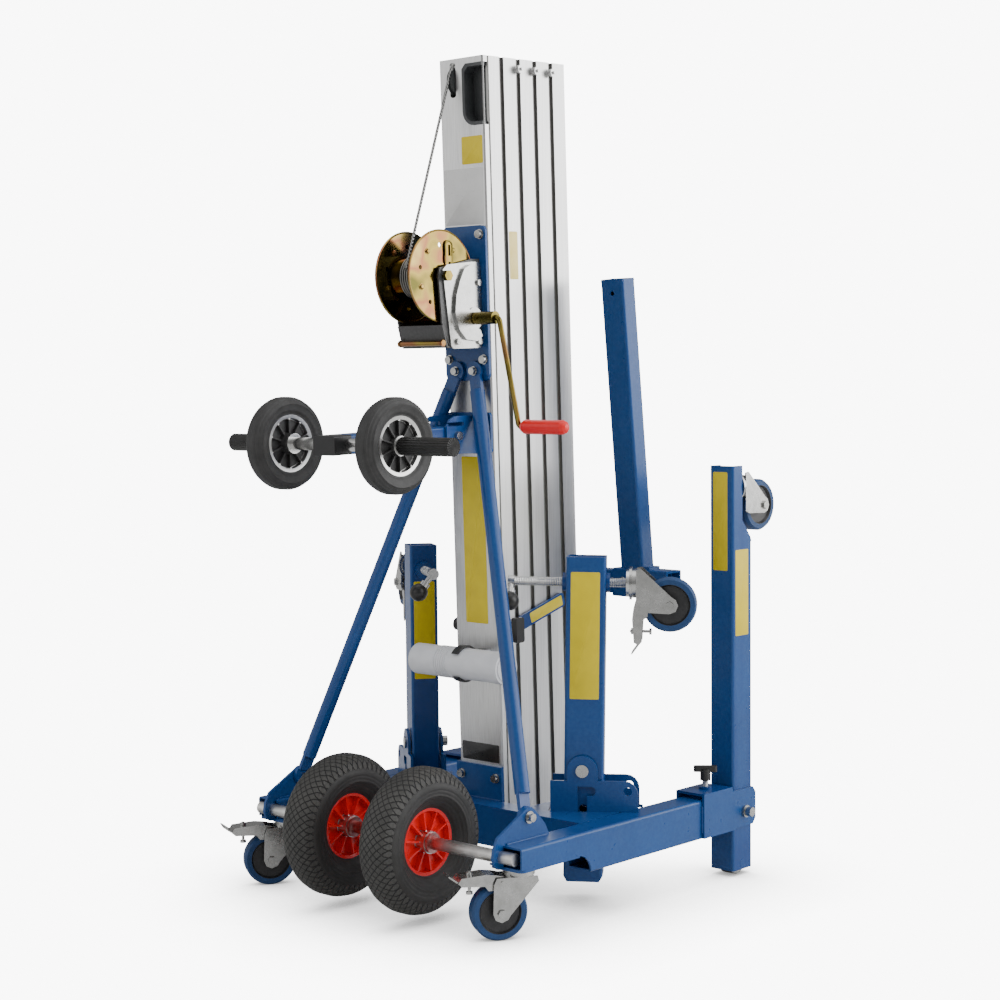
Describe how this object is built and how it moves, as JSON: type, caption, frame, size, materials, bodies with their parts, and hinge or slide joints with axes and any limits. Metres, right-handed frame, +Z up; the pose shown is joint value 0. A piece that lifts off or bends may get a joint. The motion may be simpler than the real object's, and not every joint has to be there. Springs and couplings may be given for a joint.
{
  "type": "material_lift",
  "caption": "Hand-cranked telescopic material lift with a blue base, silver mast and folding legs, stored upright",
  "frame": {"origin": "middle of the footprint's box, on the floor", "axes": "+X to the operator's right, +Y to the load side, +Z up"},
  "size_m": [0.8448, 1.0442, 1.7193],
  "materials": {
    "blue_paint": "glossy powder coat",
    "aluminium": "satin extruded, vertical draw lines",
    "zinc": "bright zinc plate",
    "gold_zinc": "yellow passivated zinc",
    "black_paint": "satin black",
    "black_plastic": "moulded",
    "grey_plastic": "moulded",
    "tube_plastic": "smooth light grey",
    "red_plastic": "smooth red grip",
    "red_paint": "glossy red",
    "black_rubber": "matt",
    "tyre_rubber": "block tread",
    "blue_rubber": "elastic blue tread on a black core",
    "wire_steel": "twisted strands"
  },
  "bodies": {
    "base": {"base_frame": "blue_paint", "mast_section_1": "aluminium", "winch_plate": "blue_paint", "winch_frame": "black_paint", "winch_cover": "zinc", "frame_bolts": "zinc", "struts": "blue_paint", "rear_axle": "zinc", "handle_bracket": "blue_paint", "mast_grip": "grey_plastic", "document_tube": "tube_plastic", "wire_rope": "wire_steel"},
    "mast_2": {"mast_section_2": "aluminium"},
    "mast_3": {"mast_section_3": "aluminium"},
    "mast_4": {"mast_section_4": "aluminium"},
    "mast_5": {"mast_section_5": "aluminium", "carriage": "blue_paint"},
    "fork_left": {"fork_left": "blue_paint"},
    "fork_right": {"fork_right": "blue_paint"},
    "winch_drum": {"winch_drum": "gold_zinc"},
    "winch_crank": {"winch_crank": "zinc"},
    "crank_grip": {"crank_grip": "red_plastic"},
    "top_pulley": {"top_pulley": "black_plastic"},
    "handle": {"handle_arm": "blue_paint", "handle_bar": "zinc"},
    "handle_wheel_left": {"handle_wheel_left": "black_rubber"},
    "wheel_left": {"wheel_tyre_left": "tyre_rubber", "wheel_rim_left": "red_paint"},
    "handle_wheel_right": {"handle_wheel_right": "black_rubber"},
    "wheel_right": {"wheel_tyre_right": "tyre_rubber", "wheel_rim_right": "red_paint"},
    "rear_caster_left": {"rear_caster_fork_left": "zinc"},
    "rear_caster_wheel_left": {"rear_caster_wheel_left": "blue_rubber"},
    "rear_caster_pedal_left": {"rear_caster_pedal_left": "zinc"},
    "rear_caster_right": {"rear_caster_fork_right": "zinc"},
    "rear_caster_wheel_right": {"rear_caster_wheel_right": "blue_rubber"},
    "rear_caster_pedal_right": {"rear_caster_pedal_right": "zinc"},
    "stabiliser_pivot_left": {"stabiliser_pivot_left": "zinc"},
    "stabiliser_leg_left": {"stabiliser_leg_left": "blue_paint"},
    "stabiliser_screw_left": {"stabiliser_screw_left": "zinc"},
    "stabiliser_fork_left": {"stabiliser_fork_left": "zinc"},
    "stabiliser_wheel_left": {"stabiliser_wheel_left": "blue_rubber"},
    "stabiliser_pedal_left": {"stabiliser_pedal_left": "zinc"},
    "stabiliser_pivot_right": {"stabiliser_pivot_right": "zinc"},
    "stabiliser_leg_right": {"stabiliser_leg_right": "blue_paint"},
    "stabiliser_screw_right": {"stabiliser_screw_right": "zinc"},
    "stabiliser_fork_right": {"stabiliser_fork_right": "zinc"},
    "stabiliser_wheel_right": {"stabiliser_wheel_right": "blue_rubber"},
    "stabiliser_pedal_right": {"stabiliser_pedal_right": "zinc"},
    "front_leg_left": {"front_leg_left": "blue_paint"},
    "front_roller_left": {"front_roller_left": "zinc"},
    "front_caster_left": {"front_caster_fork_left": "zinc"},
    "front_caster_wheel_left": {"front_caster_wheel_left": "blue_rubber"},
    "socket_knob_left": {"socket_knob_left": "black_plastic"},
    "front_leg_right": {"front_leg_right": "blue_paint"},
    "front_roller_right": {"front_roller_right": "zinc"},
    "front_caster_right": {"front_caster_fork_right": "zinc"},
    "front_caster_wheel_right": {"front_caster_wheel_right": "blue_rubber"},
    "socket_knob_right": {"socket_knob_right": "black_plastic"},
    "lock_bar": {"lock_bar": "blue_paint"}
  },
  "joints": [
    {"name": "mast_slide_2", "type": "slide", "parent": "base", "child": "mast_2", "axis": [0, -0.0311, 0.9995], "range_m": [0, 1.1]},
    {"name": "mast_slide_3", "type": "slide", "parent": "mast_2", "child": "mast_3", "axis": [0, -0.0311, 0.9995], "range_m": [0, 1.1]},
    {"name": "mast_slide_4", "type": "slide", "parent": "mast_3", "child": "mast_4", "axis": [0, -0.0311, 0.9995], "range_m": [0, 1.1]},
    {"name": "mast_slide_5", "type": "slide", "parent": "mast_4", "child": "mast_5", "axis": [0, -0.0311, 0.9995], "range_m": [0, 1.1]},
    {"name": "fork_slide_left", "type": "slide", "parent": "mast_5", "child": "fork_left", "axis": [1, 0, 0], "range_m": [-0.06, 0.055]},
    {"name": "fork_slide_right", "type": "slide", "parent": "mast_5", "child": "fork_right", "axis": [1, 0, 0], "range_m": [-0.055, 0.06]},
    {"name": "drum_turn", "type": "hinge", "parent": "base", "child": "winch_drum", "pos_m": [0, -0.17376, 1.266], "axis": [1, 0, 0], "continuous": true},
    {"name": "crank_turn", "type": "hinge", "parent": "base", "child": "winch_crank", "pos_m": [0, -0.09513, 1.1824], "axis": [1, 0, 0], "continuous": true},
    {"name": "crank_grip_turn", "type": "hinge", "parent": "winch_crank", "child": "crank_grip", "pos_m": [0.18, -0.03696, 0.96195], "axis": [1, 0, 0], "continuous": true},
    {"name": "pulley_turn", "type": "hinge", "parent": "base", "child": "top_pulley", "pos_m": [-0.022, -0.05919, 1.66775], "axis": [1, 0, 0], "continuous": true},
    {"name": "handle_fold", "type": "hinge", "parent": "base", "child": "handle", "pos_m": [0, -0.13478, 0.94506], "axis": [-1, 0, 0], "range_deg": [0, 45]},
    {"name": "handle_wheel_turn_left", "type": "hinge", "parent": "handle", "child": "handle_wheel_left", "pos_m": [-0.153, -0.43013, 0.93588], "axis": [1, 0, 0], "continuous": true},
    {"name": "wheel_turn_left", "type": "hinge", "parent": "base", "child": "wheel_left", "pos_m": [-0.109, -0.32937, 0.1625], "axis": [1, 0, 0], "continuous": true},
    {"name": "handle_wheel_turn_right", "type": "hinge", "parent": "handle", "child": "handle_wheel_right", "pos_m": [0.153, -0.43013, 0.93588], "axis": [1, 0, 0], "continuous": true},
    {"name": "wheel_turn_right", "type": "hinge", "parent": "base", "child": "wheel_right", "pos_m": [0.109, -0.32937, 0.1625], "axis": [1, 0, 0], "continuous": true},
    {"name": "rear_caster_swivel_left", "type": "hinge", "parent": "base", "child": "rear_caster_left", "pos_m": [-0.325, -0.28187, 0.137], "axis": [0, 0, 1], "continuous": true},
    {"name": "rear_caster_roll_left", "type": "hinge", "parent": "rear_caster_left", "child": "rear_caster_wheel_left", "pos_m": [-0.34726, -0.31749, 0.055], "axis": [0.848, -0.5299, 0], "continuous": true},
    {"name": "rear_caster_brake_left", "type": "hinge", "parent": "rear_caster_left", "child": "rear_caster_pedal_left", "pos_m": [-0.34673, -0.31664, 0.115], "axis": [0.848, -0.5299, 0], "range_deg": [-6, 3]},
    {"name": "rear_caster_swivel_right", "type": "hinge", "parent": "base", "child": "rear_caster_right", "pos_m": [0.325, -0.28187, 0.137], "axis": [0, 0, 1], "continuous": true},
    {"name": "rear_caster_roll_right", "type": "hinge", "parent": "rear_caster_right", "child": "rear_caster_wheel_right", "pos_m": [0.30274, -0.31749, 0.055], "axis": [0.848, -0.5299, 0], "continuous": true},
    {"name": "rear_caster_brake_right", "type": "hinge", "parent": "rear_caster_right", "child": "rear_caster_pedal_right", "pos_m": [0.30327, -0.31664, 0.115], "axis": [0.848, -0.5299, 0], "range_deg": [-6, 3]},
    {"name": "stabiliser_lift_left", "type": "slide", "parent": "base", "child": "stabiliser_pivot_left", "axis": [0, 0, 1], "range_m": [0, 0.129]},
    {"name": "stabiliser_fold_left", "type": "hinge", "parent": "stabiliser_pivot_left", "child": "stabiliser_leg_left", "pos_m": [-0.228, 0.02663, 0.097], "axis": [-0.5878, -0.809, 0], "range_deg": [0, 89.1]},
    {"name": "stabiliser_jack_left", "type": "slide", "parent": "stabiliser_leg_left", "child": "stabiliser_screw_left", "axis": [-0.8089, 0.5877, -0.0157], "range_m": [0, 0.06]},
    {"name": "stabiliser_swivel_left", "type": "hinge", "parent": "stabiliser_screw_left", "child": "stabiliser_fork_left", "pos_m": [-0.30536, 0.08284, 0.64557], "axis": [-0.8089, 0.5877, -0.0157], "continuous": true},
    {"name": "stabiliser_roll_left", "type": "hinge", "parent": "stabiliser_fork_left", "child": "stabiliser_wheel_left", "pos_m": [-0.37116, 0.13065, 0.60228], "axis": [0.5878, 0.809, 0], "continuous": true},
    {"name": "stabiliser_brake_left", "type": "hinge", "parent": "stabiliser_fork_left", "child": "stabiliser_pedal_left", "pos_m": [-0.32264, 0.09539, 0.60423], "axis": [0.5878, 0.809, 0], "range_deg": [-3, 6]},
    {"name": "stabiliser_lift_right", "type": "slide", "parent": "base", "child": "stabiliser_pivot_right", "axis": [0, 0, 1], "range_m": [0, 0.129]},
    {"name": "stabiliser_fold_right", "type": "hinge", "parent": "stabiliser_pivot_right", "child": "stabiliser_leg_right", "pos_m": [0.228, 0.02663, 0.097], "axis": [-0.5878, 0.809, 0], "range_deg": [0, 89.1]},
    {"name": "stabiliser_jack_right", "type": "slide", "parent": "stabiliser_leg_right", "child": "stabiliser_screw_right", "axis": [0.8089, 0.5877, -0.0157], "range_m": [0, 0.06]},
    {"name": "stabiliser_swivel_right", "type": "hinge", "parent": "stabiliser_screw_right", "child": "stabiliser_fork_right", "pos_m": [0.30536, 0.08284, 0.64557], "axis": [0.8089, 0.5877, -0.0157], "continuous": true},
    {"name": "stabiliser_roll_right", "type": "hinge", "parent": "stabiliser_fork_right", "child": "stabiliser_wheel_right", "pos_m": [0.37116, 0.13065, 0.60228], "axis": [-0.5878, 0.809, 0], "continuous": true},
    {"name": "stabiliser_brake_right", "type": "hinge", "parent": "stabiliser_fork_right", "child": "stabiliser_pedal_right", "pos_m": [0.32264, 0.09539, 0.60423], "axis": [-0.5878, 0.809, 0], "range_deg": [-6, 3]},
    {"name": "front_leg_fold_left", "type": "hinge", "parent": "base", "child": "front_leg_left", "pos_m": [-0.341, 0.38313, 0.139], "axis": [-1, 0, 0], "range_deg": [0, 90]},
    {"name": "front_roller_turn_left", "type": "hinge", "parent": "front_leg_left", "child": "front_roller_left", "pos_m": [-0.341, 0.38313, 0.0255], "axis": [1, 0, 0], "continuous": true},
    {"name": "front_caster_swivel_left", "type": "hinge", "parent": "front_leg_left", "child": "front_caster_left", "pos_m": [-0.341, 0.38513, 0.828], "axis": [0, 1, 0], "continuous": true},
    {"name": "front_caster_roll_left", "type": "hinge", "parent": "front_caster_left", "child": "front_caster_wheel_left", "pos_m": [-0.341, 0.46713, 0.786], "axis": [1, 0, 0], "continuous": true},
    {"name": "socket_knob_turn_left", "type": "hinge", "parent": "base", "child": "socket_knob_left", "pos_m": [-0.341, 0.29063, 0.24], "axis": [0, 0, 1], "range_deg": [-360, 0]},
    {"name": "front_leg_fold_right", "type": "hinge", "parent": "base", "child": "front_leg_right", "pos_m": [0.341, 0.38313, 0.139], "axis": [-1, 0, 0], "range_deg": [0, 90]},
    {"name": "front_roller_turn_right", "type": "hinge", "parent": "front_leg_right", "child": "front_roller_right", "pos_m": [0.341, 0.38313, 0.0255], "axis": [1, 0, 0], "continuous": true},
    {"name": "front_caster_swivel_right", "type": "hinge", "parent": "front_leg_right", "child": "front_caster_right", "pos_m": [0.341, 0.38513, 0.828], "axis": [0, 1, 0], "continuous": true},
    {"name": "front_caster_roll_right", "type": "hinge", "parent": "front_caster_right", "child": "front_caster_wheel_right", "pos_m": [0.341, 0.46713, 0.786], "axis": [1, 0, 0], "continuous": true},
    {"name": "socket_knob_turn_right", "type": "hinge", "parent": "base", "child": "socket_knob_right", "pos_m": [0.341, 0.29063, 0.24], "axis": [0, 0, 1], "range_deg": [-360, 0]},
    {"name": "lock_bar_swing", "type": "hinge", "parent": "base", "child": "lock_bar", "pos_m": [0.06, -0.01119, 0.5417], "axis": [-1, 0, 0], "range_deg": [0, 104]}
  ],
  "couplings": [
    {"joint": "mast_slide_3", "follows": "mast_slide_2", "ratio": 1},
    {"joint": "mast_slide_4", "follows": "mast_slide_2", "ratio": 1},
    {"joint": "mast_slide_5", "follows": "mast_slide_2", "ratio": 1},
    {"joint": "drum_turn", "follows": "mast_slide_2", "rad_per_m": 84.567},
    {"joint": "crank_turn", "follows": "mast_slide_2", "rad_per_m": -169.13},
    {"joint": "pulley_turn", "follows": "mast_slide_2", "rad_per_m": 136.52},
    {"joint": "stabiliser_fold_left", "follows": "stabiliser_lift_left", "rad_per_m": 12.055},
    {"joint": "stabiliser_fold_right", "follows": "stabiliser_lift_right", "rad_per_m": 12.055}
  ]
}
